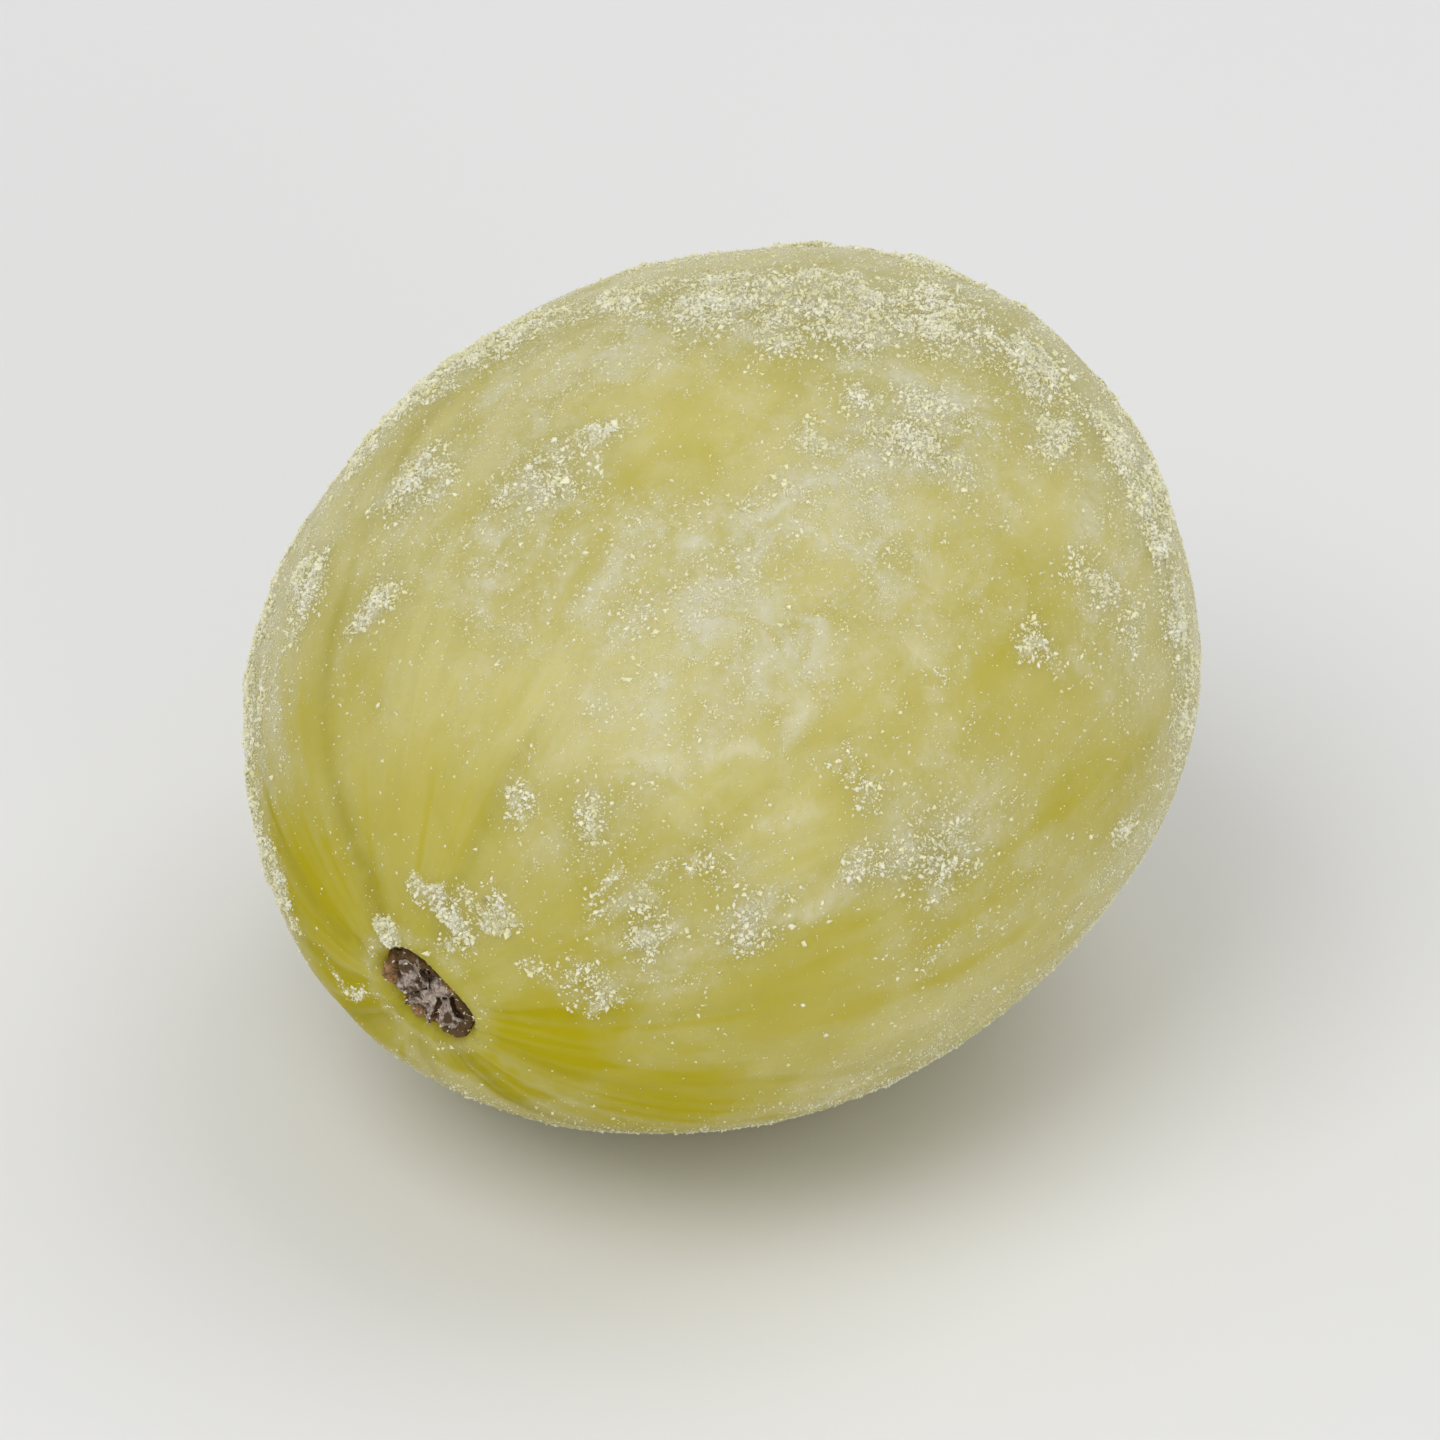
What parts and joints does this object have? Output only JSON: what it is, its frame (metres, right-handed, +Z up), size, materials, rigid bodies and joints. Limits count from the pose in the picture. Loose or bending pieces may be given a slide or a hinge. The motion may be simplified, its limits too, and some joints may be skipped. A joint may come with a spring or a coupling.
{
  "type": "gooseberry",
  "caption": "Frosted pale green gooseberry lying on its side, with a dried brown calyx at its tip, a short stalk stub and a small flat rest spot.",
  "frame": {"origin": "middle of the bottom of the whole fruit's box, on the surface that the fruit lies on", "axes": "+Z up, away from the surface; the fruit's core line runs from the calyx at -X -Y, dipping 9 degrees, to the stalk at +X +Y; -Y is the front"},
  "size_m": [0.0206, 0.021, 0.0171],
  "materials": {
    "skin": "translucent pale yellow-green fruit skin with faint veins, clouded by frost",
    "frost": "white hoar frost in patches and loose ice crystals on the skin",
    "calyx": "dry, shrivelled dark brown flower remnant with a pinkish grey floor",
    "stalk": "dry, ridged olive brown stalk with a torn end"
  },
  "bodies": {
    "root": {"berry": "skin", "calyx": "calyx", "stalk_stub": "stalk"}
  },
  "joints": []
}
